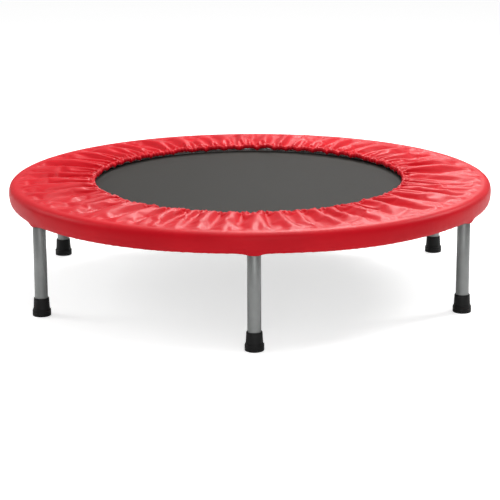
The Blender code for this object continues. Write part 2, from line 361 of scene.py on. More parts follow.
def vinyl_back():
    """The sheet's knitted backing, seen from below."""
    finish = Finish("vinyl_backing", (0.46, 0.03, 0.035), 0.8, Sheen_Weight=0.3)
    knit = finish.cells(900, finish.stretched((1, 1.6, 1)))
    finish.colours(knit, (0.1, (0.36, 0.02, 0.026)), (0.7, (0.50, 0.045, 0.05)))
    return finish.bumps((knit, 0.0004, 0.6)).material


def woven_mat():
    """Black-grey polypropylene cloth: a plain weave of flat threads, dusted by use."""
    finish = Finish("woven_mat", (0.025, 0.024, 0.021), 0.6, Specular_IOR_Level=0.12)
    split = finish.node("ShaderNodeSeparateXYZ")
    finish.link(finish.position, split.inputs[0])
    thread = TAU / 2 / 0.0013
    across = finish.math("SINE", finish.math("MULTIPLY", split.outputs["X"], thread))
    along = finish.math("SINE", finish.math("MULTIPLY", split.outputs["Y"], thread))
    over = finish.math("GREATER_THAN", finish.math("MULTIPLY", across, along), 0.0)
    warp = finish.math("ABSOLUTE", across)
    weft = finish.math("ABSOLUTE", along)
    height = finish.math("ADD", finish.math("MULTIPLY", over, warp),
                         finish.math("MULTIPLY", finish.math("SUBTRACT", 1.0, over), weft))
    dust = finish.noise(14, 6, roughness=0.65)
    shade = finish.math("ADD", finish.math("MULTIPLY", height, 0.35), finish.math("MULTIPLY", dust, 0.65))
    finish.colours(shade, (0.25, (0.0135, 0.0131, 0.0113)), (0.80, (0.034, 0.0328, 0.0286)))
    finish.rough(dust, 0.55, 0.72)
    return finish.bumps((height, 0.0004, 0.5), (finish.noise(30, 3), 0.002, 0.05)).material


def webbing():
    """Black ribbed tape, folded over the mat's edge."""
    finish = Finish("webbing", (0.02, 0.02, 0.02), 0.8, Sheen_Weight=0.25)
    rib = finish.node("ShaderNodeTexWave", bands_direction="DIAGONAL")
    rib.inputs["Scale"].default_value = 1.0
    finish.link(finish.stretched((420, 420, 1), finish.uv()), rib.inputs["Vector"])
    finish.colours(rib.outputs["Fac"], (0.2, (0.012, 0.012, 0.012)), (0.8, (0.030, 0.030, 0.030)))
    return finish.bumps((rib.outputs["Fac"], 0.0004, 0.6)).material


def thread():
    finish = Finish("stitching", (0.55, 0.55, 0.52), 0.7, Sheen_Weight=0.2)
    twist = finish.noise(900, 2)
    finish.colours(twist, (0.3, (0.42, 0.42, 0.40)), (0.7, (0.66, 0.66, 0.62)))
    return finish.bumps((twist, 0.0003, 0.5)).material


def black_wire_painted_shade():
    """Steel wire coloured near black as painted shade, for the rings that lie in the shade under the cover's
    hem, and a little worn.
    """
    finish = Finish("black_wire_painted_shade", (0.02, 0.02, 0.02), 0.45, Specular_IOR_Level=0.3)
    wear = finish.noise(220, 4)
    # Near-black colour is painted shade; the noise adds a little wear.
    finish.colours(wear, (0.35, (0.010, 0.010, 0.010)), (0.85, (0.040, 0.040, 0.038)))
    return finish.bumps((wear, 0.0002, 0.4)).material


def paint(name, dark, light):
    """Silver-grey powder coat: a fine orange peel, and slightly uneven colour."""
    finish = Finish(name, light, 0.36, 0.55, Coat_Weight=0.25, Coat_Roughness=0.25)
    finish.colours(finish.noise(35, 5), (0.3, dark), (0.75, light))
    finish.rough(finish.noise(150, 3), 0.34, 0.50)
    return finish.bumps((finish.noise(700, 2), 0.0002, 0.35), (finish.noise(60, 2), 0.0006, 0.08)).material


def zinc():
    """Bright zinc plate with faint streaks and dull patches."""
    finish = Finish("zinc_plate", (0.62, 0.63, 0.64), 0.3, 1.0)
    patches = finish.noise(160, 4)
    finish.colours(patches, (0.3, (0.50, 0.51, 0.52)), (0.75, (0.72, 0.73, 0.74)))
    finish.rough(finish.noise(420, 3), 0.22, 0.42)
    return finish.bumps((finish.noise(1500, 2), 0.00005, 0.4)).material


def rubber():
    finish = Finish("black_rubber", (0.006, 0.006, 0.006), 0.5, Specular_IOR_Level=0.3)
    scuffs = finish.noise(45, 6, roughness=0.7)
    finish.colours(scuffs, (0.35, (0.003, 0.003, 0.003)), (0.85, (0.010, 0.010, 0.0098)))
    finish.rough(scuffs, 0.38, 0.66)
    return finish.bumps((finish.cells(1400), 0.0001, 0.35)).material


def foam():
    """Closed-cell polyethylene foam."""
    finish = Finish("foam", (0.8, 0.8, 0.78), 0.85, Subsurface_Weight=0.1)
    pores = finish.cells(420)
    finish.colours(pores, (0.05, (0.62, 0.62, 0.60)), (0.5, (0.84, 0.84, 0.82)))
    return finish.bumps((pores, 0.0008, 0.5)).material


def elastic():
    """Braided cord."""
    finish = Finish("elastic_braid", (0.7, 0.7, 0.68), 0.8, Sheen_Weight=0.2)
    braid = finish.node("ShaderNodeTexWave", bands_direction="DIAGONAL")
    braid.inputs["Scale"].default_value = 1.0
    finish.link(finish.stretched((600, 3, 1), finish.uv()), braid.inputs["Vector"])
    finish.colours(braid.outputs["Fac"], (0.2, (0.50, 0.50, 0.48)), (0.8, (0.78, 0.78, 0.75)))
    return finish.bumps((braid.outputs["Fac"], 0.0004, 0.6)).material


# ---------------------------------------------------------------- the cover

SHEET_COLUMNS = 720  # around the ring, while the sheet is simulated
SHEET_ROWS = 48
COLUMNS = 1440  # around the finished cover
HEM_RADIUS = 319.0  # the line where the sheet is sewn round the elastic, on average
HEM_HEIGHT = 218.4
HEM_LEAN, LEAN_TO = 9.5, math.radians(104)  # the opening is pulled this much off centre, towards the back
HEM_OVAL, OVAL_TO = 6.0, math.radians(86)  # and it is this much longer front to back, and narrower across
SHEET_OUTER = 469.0  # where the flat top turns into the rim
RIM_HEIGHT = COVER_TOP - 0.3
EXCESS = 0.27  # how much longer the sheet is at the hem than the opening's edge
EXCESS_FADE = 1.25  # the power by which that excess fades towards the rim
SLACK = 0.014  # how much longer the sheet is from hem to rim than the gap it spans
GATHER_FRAMES = 24
SETTLE_FRAMES = 10
STAGES = 6
CASING_DROP = 4.6  # from the hem's top edge down to the elastic in it
CASING_REACH = 2.8  # from the elastic out to the casing's inner side
SHEET_THICKNESS = 0.8
FOAM_INNER = 345.0
FOAM_DROP = 2.2  # from the sheet down to the foam
PRESSED_FOAM = 2.9  # the sheet stays this far above the springs, where foam lies between them

# The narrowest and widest of the puffs that gathered sheet breaks into, and their mean height
BROAD_PUFFS = (20, 44)
TUCKS = (9, 24)
BEADS = (5.5, 11)
SKIRT_GATHERS = (7, 16)
MEAN_PUFF = 0.55


def waves(random, columns, low, high, count):
    """A sum of waves around the ring, each with a whole number of periods, of about unit height."""
    angles = around(columns)
    total = np.zeros(columns)
    for periods, phase in zip(random.integers(low, high, count), random.uniform(0, TAU, count)):
        total += math.sqrt(2 / count) * np.cos(periods * angles + phase)
    return total


def puffs(random, columns, narrow, wide):
    """Rounded puffs side by side round the hem: 0 in the pinch between neighbours, and about 1 on top."""
    girth = TAU * HEM_RADIUS
    widths = []
    while sum(widths) < girth:
        widths.append(random.uniform(narrow, wide))
    edges = np.concatenate([[0], np.cumsum(widths)]) * girth / sum(widths)
    at = around(columns) * HEM_RADIUS
    k = np.searchsorted(edges, at, side="right") - 1
    width = edges[k + 1] - edges[k]
    share = (at - edges[k]) / width
    height = random.uniform(0.65, 1.1, len(widths))[k] * np.sqrt(width / wide)
    return height * np.sin(np.pi * share) ** 0.7


def hem_radius(columns):
    """How far out the elastic holds the hem: a slightly uneven oval."""
    angles = around(columns)
    return HEM_RADIUS + HEM_LEAN * np.cos(angles - LEAN_TO) + HEM_OVAL * np.cos(2 * (angles - OVAL_TO))


def sheet_rows():
    """How far out each row of the sheet is, from 0 at the hem to 1 at the rim."""
    return np.linspace(0, 1, SHEET_ROWS + 1)


def ungathered(random):
    """The sheet as it was cut, a cone fuller than the opening, and how far it leans out from upright.
    Faint waves give it places to buckle."""
    share = sheet_rows()[:, None]
    hem = hem_radius(SHEET_COLUMNS)
    radius = hem + (SHEET_OUTER - hem) * share
    full = radius * (1 + EXCESS * (1 - share) ** EXCESS_FADE)
    run = np.diff(radius, axis=0) * (1 + SLACK)
    drop = np.sqrt(run**2 - np.diff(full, axis=0) ** 2)
    height = RIM_HEIGHT + drop.sum(0) - np.concatenate([0 * drop[:1], np.cumsum(drop, axis=0)])
    faint = [waves(random, SHEET_COLUMNS, 20, 160, 30) for _ in range(2)]
    ripple = 0.6 * np.sin(np.pi * share) * (faint[0] * (1 - share) + faint[1] * share)
    return on_circle(full + ripple, height, SHEET_COLUMNS), np.arctan2(full[-1] - full[0], drop.sum(0))


def sheet_at(stage, lean, hem):
    """The sheet pulled straight from rim to hem, part of the way (0 to 1) from cone to gathered ring."""
    turn = lean + (math.pi / 2 - lean) * stage
    back = (SHEET_OUTER - hem_radius(SHEET_COLUMNS)) * (1 + SLACK * (1 - stage))
    radius = [SHEET_OUTER - back * (1 - s) * np.sin(turn) for s in sheet_rows()]
    height = [RIM_HEIGHT + back * (1 - s) * np.cos(turn) for s in sheet_rows()]
    height[0] = height[0] + stage * (hem + HEM_HEIGHT - RIM_HEIGHT)
    return on_circle(radius, height, SHEET_COLUMNS)


def gather(random, hem):
    """Cloth simulation: the cut sheet's hem is drawn in to the opening, and the sheet buckles into folds."""
    start, lean = ungathered(random)
    sheet = bpy.data.objects.new("sheet", grid_mesh("sheet", start))
    bpy.context.scene.collection.objects.link(sheet)
    sheet.shape_key_add(name="cut")
    frames_each = GATHER_FRAMES / STAGES
    for stage in range(1, STAGES + 1):
        key = sheet.shape_key_add(name=f"stage_{stage}")
        points = sheet_at(stage / STAGES, lean, hem)
        key.data.foreach_set("co", (points * MM).astype(np.float32).ravel())
        times = [(stage - 1, 0.0), (stage, 1.0)] + ([(stage + 1, 0.0)] if stage < STAGES else [])
        for time, value in times:
            key.value = value
            key.keyframe_insert("value", frame=1 + time * frames_each)
    for curve in sheet.data.shape_keys.animation_data.action.fcurves:
        for keyed in curve.keyframe_points:
            keyed.interpolation = "LINEAR"
    held = sheet.vertex_groups.new(name="held")
    end = (SHEET_ROWS + 1) * SHEET_COLUMNS
    held.add(list(range(SHEET_COLUMNS)) + list(range(end - 3 * SHEET_COLUMNS, end)), 1.0, "REPLACE")

    step = sheet.modifiers.new("Cloth", "CLOTH")
    cloth = step.settings
    cloth.quality = 5
    cloth.mass = 0.05
    cloth.tension_stiffness = 20
    cloth.compression_stiffness = 20
    cloth.shear_stiffness = 5
    cloth.bending_stiffness = 16
    cloth.tension_damping = 2
    cloth.compression_damping = 2
    cloth.shear_damping = 2
    cloth.bending_damping = 0.1
    cloth.air_damping = 1
    cloth.vertex_group_mass = held.name
    cloth.effector_weights.gravity = 0
    cloth.use_pressure = True
    cloth.uniform_pressure_force = 3
    step.collision_settings.use_collision = False
    frames = GATHER_FRAMES + SETTLE_FRAMES
    step.point_cache.frame_end = frames
    scene = bpy.context.scene
    for number in range(1, frames + 1):
        scene.frame_set(number)
    mesh = sheet.evaluated_get(bpy.context.evaluated_depsgraph_get()).to_mesh()
    settled = np.zeros(len(mesh.vertices) * 3, np.float32)
    mesh.vertices.foreach_get("co", settled)
    bpy.data.objects.remove(sheet)
    scene.frame_set(1)
    return settled.reshape(start.shape).astype(float) / MM


def refined(sheet, shares):
    """The sheet with more columns, and with rows at these shares of the way out."""
    spectrum = np.fft.rfft(sheet, axis=1)
    smooth = np.fft.irfft(spectrum, COLUMNS, axis=1) * (COLUMNS / SHEET_COLUMNS)
    place = np.array(shares) * SHEET_ROWS
    row = np.minimum(place.astype(int), SHEET_ROWS - 1)
    part = (place - row)[:, None, None]
    return smooth[row] * (1 - part) + smooth[row + 1] * part


def soft_floor(height, floor, give):
    """Height, but eased to stay above the floor."""
    above = (height - floor) / give
    return floor + give * np.logaddexp(0, above)


def pressed_on_foam(sheet):
    """The sheet can press into the foam, but not through it."""
    radius = np.hypot(sheet[:, :, 0], sheet[:, :, 1])
    over_foam = np.clip((radius - FOAM_INNER + 6) / 8, 0, 1)
    raised = soft_floor(sheet[:, :, 2], MAT_HEIGHT + COIL_RADIUS + WIRE_RADIUS + PRESSED_FOAM, 0.7)
    sheet[:, :, 2] = sheet[:, :, 2] * (1 - over_foam) + raised * over_foam
    return sheet


def with_fine_gathers(sheet, shares, beads, tucks):
    """Small ruffles and deep pinches close to the hem, and the groove of the seam that holds the elastic.
    Each has its height, and a bell curve over the distance from the hem for where it lies."""
    distance = np.array(shares)[:, None] * (SHEET_OUTER - HEM_RADIUS)
    ruffle = 1.7 * (beads - MEAN_PUFF) * np.exp(-(distance / 10) ** 2)
    groove = -1.1 * np.exp(-(((distance - 8.5) / 1.8) ** 2))
    gather = 1.2 * (tucks - MEAN_PUFF) * np.exp(-(distance / 26) ** 2)
    pinch = np.clip(1 - tucks / 0.45, 0, 1) * np.exp(-(((distance - 6.5) / 3.5) ** 2))
    sheet[:, :, 2] += ruffle + gather + groove * (0.4 + 0.9 * beads) - 3.2 * pinch
    return sheet


def casing(random, top, beads):
    """The fold that holds the elastic, in rows from below the sheet inwards and up to the hem's top edge."""
    lump = beads - MEAN_PUFF
    wander = waves(random, COLUMNS, 60, 120, 8)
    crumple = waves(random, COLUMNS, 130, 330, 14)
    line = hem_radius(COLUMNS)
    half_width, half_height = CASING_REACH + 1.8 * lump, CASING_DROP + 1.0 * lump
    middle = top - CASING_DROP + 0.1
    radius = [line + 9.0, line + 4.5]
    height = [middle - 2.6 + 0.5 * wander, middle - 3.6 - 0.4 * wander]
    for turn in np.radians([292, 268, 244, 222, 200, 180, 160, 140, 118, 98]):
        inward = 0.5 - 0.5 * math.cos(turn)
        uneven = 0.3 * wander * math.sin(turn)
        radius.append(line - 0.6 + half_width * math.cos(turn) + uneven + 0.4 * inward * crumple)
        height.append(middle + half_height * math.sin(turn) + 0.3 * inward * crumple)
    return on_circle(radius, height, COLUMNS)


LEG_REACH = 18.0  # how far to each side a leg shapes the skirt


def leg_nearness(columns):
    """1 over a leg, falling to 0 away from it, for each column."""
    angles = around(columns)
    total = np.zeros(columns)
    for leg in LEG_ANGLES:
        away = np.abs((angles - leg + math.pi) % TAU - math.pi) * COVER_RADIUS
        total += np.exp(-(away / LEG_REACH) ** 2)
    return total


# The rim and wall in section, as distances (in from the cover's radius, down from its top). Between two legs
# the hem turns in under the ring, and over a leg it hangs straight in front of the tube.
RIM = [(9.5, 1.0), (5.6, 3.0), (2.6, 6.2), (0.9, 10.6), (0.1, 16), (0, 21.5)]
FREE_SKIRT = RIM + [(0.6, 28), (1.8, 33.4), (3.8, 37.2), (6.2, 39.4), (8.4, 40.2), (9.9, 39.4), (9.4, 38.0)]
LEG_SKIRT = RIM + [(0.4, 27.5), (1.2, 33.5), (2.1, 39), (2.8, 42.2), (4.0, 43.6), (5.1, 42.6), (5.2, 40.8)]


def skirt(random):
    """Rim, outer wall, and the elastic hem gathered in under the ring."""
    at_leg = leg_nearness(COLUMNS)
    gathers = puffs(random, COLUMNS, *SKIRT_GATHERS) - MEAN_PUFF
    ripple = waves(random, COLUMNS, 8, 26, 6)
    slow = waves(random, COLUMNS, 3, 9, 4)
    free, over = smooth_path(FREE_SKIRT, 2), smooth_path(LEG_SKIRT, 2)
    radius, height = [], []
    for (in_free, down_free), (in_leg, down_leg) in zip(free, over):
        inward = in_free + (in_leg - in_free) * at_leg
        down = down_free + (down_leg - down_free) * at_leg
        low = np.clip((down - 24) / 14, 0, 1) ** 2
        wall = np.exp(-(((down - 20) / 11) ** 2))
        radius.append(COVER_RADIUS - inward + 0.8 * low * gathers + wall * (0.22 * ripple - 0.15))
        height.append(COVER_TOP - down + 0.9 * low * gathers + 0.5 * low * slow)
    return on_circle(radius, height, COLUMNS)


def build_cover():
    """The cover as one sheet, from the casing at its hem out to the skirt. Returns its flat top."""
    random = np.random.default_rng(11)
    hem = 5.0 * puffs(random, SHEET_COLUMNS, *BROAD_PUFFS) - 2.6
    sheet = gather(random, hem)
    shares = np.concatenate([np.arange(0, 0.1, 0.0125), np.linspace(0.1, 1, 46)])
    beads = puffs(random, COLUMNS, *BEADS)
    tucks = puffs(random, COLUMNS, *TUCKS)
    sheet = with_fine_gathers(pressed_on_foam(refined(sheet, shares)), shares, beads, tucks)
    rows = np.concatenate([casing(random, sheet[0, :, 2], beads), sheet, skirt(random)])
    mesh = grid_mesh("gathered_cover", rows, uv=(1 / COLUMNS, 1 / len(rows)))
    cover = piece("gathered_cover", mesh, vinyl(), ["pad_cover"])
    mesh.materials.append(vinyl_back())
    shell = cover.modifiers.new("thickness", "SOLIDIFY")
    shell.thickness = SHEET_THICKNESS * MM
    shell.offset = -1
    shell.material_offset = 1
    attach(cover, "cover")
    return sheet


def build_foam(sheet):
    """The foam inside, squeezed down under each fold, flat below, and wrapped over the ring's outer side."""
    every = 3
    columns = COLUMNS // every
    low, high = box_mm("pad_foam")
    tube_top, wrap = RING_HEIGHT + TUBE_RADIUS + REST_GAP, RING_RADIUS + TUBE_RADIUS + 0.7
    spring_top = MAT_HEIGHT + COIL_RADIUS + WIRE_RADIUS + REST_GAP
    under = sheet[:, ::every]
    reach = np.maximum.accumulate(np.hypot(under[:, :, 0], under[:, :, 1]), axis=0)
    radius = [FOAM_INNER, FOAM_INNER + 0.4] + list(np.linspace(FOAM_INNER + 4, SHEET_OUTER - 3, 30))
    below = np.array([np.interp(radius[1:], reach[:, k], under[:, k, 2]) for k in range(columns)]).T
    height = [spring_top + 0.4] + list(np.minimum(below - FOAM_DROP, COVER_TOP - 3.4))
    outside = [(471.5, 214.9), (475.5, 213.0), (478.6, 210.0), (480.2, 206.0), (high[0] - 0.2, 200),
               (high[0] - 0.9, 195), (479.1, 190.6), (478.3, low[2] + 0.6), (477.8, low[2])]
    on_tube = [(wrap, low[2]), (wrap - 0.1, 196), (wrap - 0.6, 203), (wrap - 4.5, 208), (wrap - 9, tube_top),
               (COIL_OUTER + 7, tube_top)]
    on_springs = [(r, spring_top) for r in (COIL_OUTER + 3, FOAM_INNER + 50, FOAM_INNER + 0.6)]
    side_radius, side_height = zip(*outside, *on_tube, *on_springs)
    rows = on_circle(radius + list(side_radius), height + list(side_height), columns)
    mesh = grid_mesh("foam_pad", rows, closed=True)
    face_out(mesh)
    mesh.set_sharp_from_angle(angle=math.radians(50))
    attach(piece("foam_pad", mesh, foam(), ["pad_foam"]), "cover")


def cord_mesh(name, radius, height, reach, columns):
    """A round cord whose middle runs at these radii and heights."""
    turns = around(10)
    radii = [radius + reach * math.cos(t) for t in turns]
    heights = [height + reach * math.sin(t) for t in turns]
    rows = on_circle(radii, heights, columns)
    mesh = grid_mesh(name, rows, closed=True, uv=(1 / columns, 1 / len(turns)))
    face_out(mesh)
    return mesh


OVERLOCK_STITCHES = 620


def build_cords(sheet):
    """The elastic in each hem, and the pale overlock thread along the raw edge of the inner one."""
    every = 2
    columns = COLUMNS // every
    middle = sheet[0, ::every, 2] - CASING_DROP
    spectrum = np.fft.rfft(middle)
    spectrum[140:] = 0  # the cord follows the puffs, but not the fine beads
    middle = np.fft.irfft(spectrum, columns)
    finish = elastic()
    inner = cord_mesh("inner_cord", hem_radius(columns) - 0.3, middle, 1.25, columns)
    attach(piece("inner_cord", inner, finish, ["inner_hem_elastic"]), "cover")
    at_leg = leg_nearness(columns)
    fold = COVER_TOP - 38.2 - 3.4 * at_leg
    line = COVER_RADIUS - 8.0 + 3.8 * at_leg
    outer = cord_mesh("outer_cord", line, fold, 0.9, columns)
    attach(piece("outer_cord", outer, finish, ["outer_hem_elastic"]), "cover")

    at = np.arange(OVERLOCK_STITCHES * 4) / 4
    angles = TAU * at / OVERLOCK_STITCHES
    zigzag = np.abs((at % 1) * 2 - 1)
    k = (angles / TAU * columns).astype(int) % columns
    radius = hem_radius(columns)[k] - 1.6 + 3.4 * zigzag
    height = middle[k] - 4.4 - 0.5 * np.cos(TAU * at)
    path = np.stack([radius * np.cos(angles), radius * np.sin(angles), height], -1)
    overlock = wire_mesh("overlock_thread", path, 0.38, 5, closed=True)
    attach(piece("overlock_thread", overlock, thread()), "cover")


# ---------------------------------------------------------------- mat, band and wire rings


def dips_with_mat(obj):
    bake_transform(obj)
    points = np.zeros(len(obj.data.vertices) * 3, np.float32)
    obj.data.vertices.foreach_get("co", points)


def build_mat():
    half = (MAT_HIGH[2] - MAT_LOW[2]) / 2
    steps = np.linspace(0, MAT_RADIUS - 0.6, 60)
    upper = [(r, MAT_HEIGHT + half) for r in steps]
    lower = [(r, MAT_HEIGHT - half) for r in steps[::-1]]
    edge = [(MAT_RADIUS, MAT_HEIGHT)]
    mesh = spun("woven_mat", upper + edge + lower, 240, closed=False)
    dips_with_mat(piece("woven_mat", mesh, woven_mat(), ["jump_mat"]))


def build_band():
    """Folded webbing, three rows of stitches, and the wire rings sewn into the fold."""
    top, bottom = BAND_HIGH[2] - MAT_HEIGHT, BAND_LOW[2] - MAT_HEIGHT
    gap = (MAT_HIGH[2] - MAT_LOW[2]) / 2 + 0.25
    inner, outer = BAND_INNER, BAND_OUTER
    outline = [
        (inner, top - 0.3), (inner + 0.6, top), (342, top), (outer - 1.5, top), (outer, top - 1.2),
        (outer, bottom + 1.2), (outer - 1.5, bottom), (342, bottom), (inner + 0.6, bottom),
        (inner, bottom + 0.3), (inner, -gap), (350.5, -gap), (350.5, gap), (inner, gap),
    ]
    mesh = spun("edge_webbing", [(r, z + MAT_HEIGHT) for r, z in outline], 360, uv=(6.2, 0.09))
    dips_with_mat(piece("edge_webbing", mesh, webbing(), ["mat_edge_band"]))
    build_stitches(MAT_HEIGHT + top)
    build_mat_rings()


STITCH_PITCH, STITCH_LENGTH, STITCH_RISE = 4.6, 3.4, 0.32


def stitch(radius, angle, height):
    """One stitch: a short thread that dips into the tape at both ends."""
    turn = STITCH_LENGTH / 2 / radius
    path = []
    for share in (-1, -0.55, 0, 0.55, 1):
        rise = STITCH_RISE * (1 - share**4)
        at = angle + turn * share
        path.append((radius * math.cos(at), radius * math.sin(at), height + rise))
    return np.array(path)


def build_stitches(height):
    stitches = []
    for radius in (BAND_INNER + 2.5, BAND_INNER + 7, BAND_OUTER - 4):
        count = int(TAU * radius / STITCH_PITCH)
        stitches += [stitch(radius, TAU * k / count, height) for k in range(count)]
    threads = strands("band_stitches", stitches, 0.34)
    dips_with_mat(piece("band_stitches", threads, thread()))


def strands(name, paths, radius, sides=5):
    """Many short threads in one mesh, each a closed tube. All the paths have as many points."""
    paths = np.array(paths)
    along = unit(np.gradient(paths, axis=1))
    side = unit(np.cross(along, [0.0, 0.0, 1.0]))
    up = np.cross(side, along)
    turns = around(sides)
    loops = (
        paths[:, :, None]
        + radius * np.cos(turns)[:, None] * side[:, :, None]
        + radius * np.sin(turns)[:, None] * up[:, :, None]
    )
    count, length = paths.shape[:2]
    faces = []
    for k in range(count):
        start = k * length * sides
        for i in range(length - 1):
            for j in range(sides):
                a, b = start + i * sides + j, start + i * sides + (j + 1) % sides
                faces.append((a, b, b + sides, a + sides))
        faces.append(tuple(start + j for j in range(sides - 1, -1, -1)))
        faces.append(tuple(start + (length - 1) * sides + j for j in range(sides)))
    mesh = bpy.data.meshes.new(name)
    mesh.from_pydata((loops.reshape(-1, 3) * MM).tolist(), [], faces)
    mesh.update()
    mesh.shade_smooth()
    face_out(mesh)
    return mesh


def build_mat_rings():
    """A bent wire triangle for each spring, its broad side inside the fold and its tip outside."""
    base = [(348.6, -12.5), (349.5, -13.6), (351.0, -13.4)]
    tip = [(371.5, -4.6), (373.0, -3.4), (MAT_RING_APEX, 0)]
    half = [(r, y, 0.0) for r, y in base + tip]
    path = half + [(r, -y, z) for r, y, z in reversed(half[:-1])]
    path.append((348.2, 0, 0))
    loop = smooth_path(path + path[:1], 5)[:-1]
    loop[:, 2] += MAT_HEIGHT
    one = wire_mesh("mat_ring", loop, MAT_WIRE_RADIUS, 10, closed=True)
    rings = repeated("mat_wire_rings", one, SPRING_ANGLES)
    # The rings are coloured black as painted shade, where they lie under the hem.
    dips_with_mat(piece("mat_wire_rings", rings, black_wire_painted_shade()))


# ---------------------------------------------------------------- springs

COIL_TURNS = 23
HOOK_MIDDLE, HOOK_RADIUS = 373.6, 3.2  # of the bend round the mat ring


def spring_path():
    """Along +X: hook round a mat ring, close-wound coil, hook through the ring's hole."""
    turns = np.radians([270, 240, 210, 180, 150, 120])
    bend = [(HOOK_MIDDLE + HOOK_RADIUS * math.cos(t), 0, HOOK_RADIUS * math.sin(t)) for t in turns]
    inner = [(376.2, 0, -2.7)] + bend + [(374.6, 0, 3.3), (378.5, 0, 3.9), (382.5, 0, 4.8), (386.0, 0, 5.9)]
    start = smooth_path(inner + [(COIL_INNER, 0, COIL_RADIUS)], 3)[:-1]
    outer = [(COIL_OUTER, 0, COIL_RADIUS), (445.0, 0, 5.9), (447.0, 0, 3.6), (448.8, 0, 1.0), (451.5, 0, 0.1),
             (455.4, 0, -0.3), (457.3, 0, -1.9), (458.2, 0, -5.2)]
    end = smooth_path(outer, 3)
    count = COIL_TURNS * 12
    turn = TAU * COIL_TURNS * np.arange(count) / count
    ease = np.arange(count) / count
    coil = np.stack([
        COIL_INNER + (COIL_OUTER - COIL_INNER) * ease,
        COIL_RADIUS * np.sin(turn),
        COIL_RADIUS * np.cos(turn),
    ], -1)
    return np.concatenate([start, coil, end]) + np.array([0, 0, MAT_HEIGHT])


def build_springs():
    finish = zinc()
    one = wire_mesh("spring", spring_path(), WIRE_RADIUS, 7)
    for number, angle in enumerate(SPRING_ANGLES, 1):
        node = f"spring_{number:02d}"
        obj = piece(f"coil_spring_{number:02d}", turned_to(one, angle), finish, [node])
        dips_with_mat(obj)
    bpy.data.meshes.remove(one)


# ---------------------------------------------------------------- frame ring


def tube_section(reach, sides):
    turns = around(sides)
    return [(RING_RADIUS + reach * math.cos(t), RING_HEIGHT + reach * math.sin(t)) for t in turns]


def shift(outwards, up=0):
    return Matrix.Translation(Vector((outwards, 0, up)) * MM)


def rod(radius, low, high, sides):
    return spun("rod", [(0, low), (radius, low), (radius, high), (0, high)], sides, closed=False)


def cut(obj, mesh):
    """Takes the mesh's shape out of the object, for good."""
    cutter = bpy.data.objects.new("cutter", mesh)
    bpy.context.scene.collection.objects.link(cutter)
    step = obj.modifiers.new("cut", "BOOLEAN")
    step.object = cutter
    step.solver = "EXACT"
    graph = bpy.context.evaluated_depsgraph_get()
    result = bpy.data.meshes.new_from_object(obj.evaluated_get(graph))
    obj.modifiers.clear()
    obj.data = result
    bpy.data.objects.remove(cutter)


RING_SIDES = 288
RING_WALL = 1.5
NUT_HOLE_RADIUS = 9.0
NUT_LENGTH, NUT_FLAT, NUT_BORE = 22, 8.7, 5.25  # the last two from its axis


def build_ring():
    """Hollow tube with a hole for each hook, and a larger hole in its underside for each nut."""
    outer = spun("ring", tube_section(TUBE_RADIUS, 24), RING_SIDES, sharp=60)
    inner = spun("ring_cavity", tube_section(TUBE_RADIUS - RING_WALL, 16), RING_SIDES, sharp=60)
    inner.flip_normals()
    finish = paint("ring_paint", (0.20, 0.205, 0.20), (0.27, 0.275, 0.27))
    ring = piece("ring_tube", joined("ring_tube", [outer, inner]), finish, ["frame_ring"])
    hook_drill = rod(HOOK_HOLE_RADIUS, -6.0, 6.0, 20)
    hook_drill.transform(Matrix.Rotation(math.pi / 2, 4, "Y"))
    hook_drill.transform(shift(RING_INNER + 3.5, MAT_HEIGHT))
    nut_drill = rod(NUT_HOLE_RADIUS, RING_LOW[2] - 2, RING_HEIGHT - TUBE_RADIUS + 4, 30)
    nut_drill.transform(shift(RING_RADIUS))
    hook_drills = repeated("hook_drills", hook_drill, SPRING_ANGLES)
    nut_drills = repeated("nut_drills", nut_drill, LEG_ANGLES)
    cut(ring, joined("drills", [hook_drills, nut_drills]))
    ring.data.set_sharp_from_angle(angle=math.radians(40))
    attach(ring, "frame")
    build_nuts()


def build_nuts():
    """A hexagonal nut below each hole in the ring's underside, with a bead of weld round it."""
    low = RING_LOW[2]
    nut = hexagon_nut(low, low + NUT_LENGTH, NUT_FLAT, NUT_BORE)
    for name, mesh, finish, slot in (
        ("weld_nuts", nut, zinc(), "zinc"),
        ("weld_beads", weld_bead(), weld_metal(), "frame_steel"),
    ):
        mesh.transform(shift(RING_RADIUS))
        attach(piece(name, repeated(name, mesh, LEG_ANGLES), finish), "frame")


def hexagon_nut(low, high, flat, bore):
    """A long nut: a threaded bore, six flats, and corners bevelled at both ends."""
    sides = 48
    to_flat = np.cos((around(sides) + math.pi / 6) % (math.pi / 3) - math.pi / 6)
    outside = np.minimum(flat / to_flat, flat * 1.13)
    mouth, crest, root = bore + 0.4, bore, bore + 0.6
    profile = [(outside, low + 0.7), (outside * 0.93, low), (mouth, low)]
    for k in range(int((high - low) / THREAD_PITCH)):
        profile += [(crest, low + 0.4 + THREAD_PITCH * k), (root, low + 1.15 + THREAD_PITCH * k)]
    profile += [(mouth, high), (outside * 0.93, high), (outside, high - 0.7)]
    mesh = grid_mesh("nut", on_circle(*zip(*profile), sides), closed=True)
    face_out(mesh)
    mesh.set_sharp_from_angle(angle=math.radians(30))
    return mesh


def weld_bead():
    """A lumpy fillet where the nut meets the tube's curved underside."""
    sides = 72
    angles = around(sides)
    reach = 9.3
    on_tube = RING_HEIGHT - np.sqrt(TUBE_RADIUS**2 - (reach * np.cos(angles)) ** 2)
    size = 1.25 + 0.18 * np.sin(23 * angles) + 0.12 * np.sin(37 * angles + 1)
    turns = around(8)
    radius = [reach + size * math.cos(turn) for turn in turns]
    height = [on_tube + size * math.sin(turn) for turn in turns]
    mesh = grid_mesh("bead", on_circle(radius, height, sides), closed=True)
    face_out(mesh)
    return mesh


def weld_metal():
    finish = Finish("weld_metal", (0.22, 0.22, 0.215), 0.5, 0.4)
    ripples = finish.noise(500, 3)
    finish.colours(ripples, (0.3, (0.16, 0.16, 0.155)), (0.7, (0.27, 0.27, 0.265)))
    return finish.bumps((ripples, 0.0004, 0.5)).material


# ---------------------------------------------------------------- legs

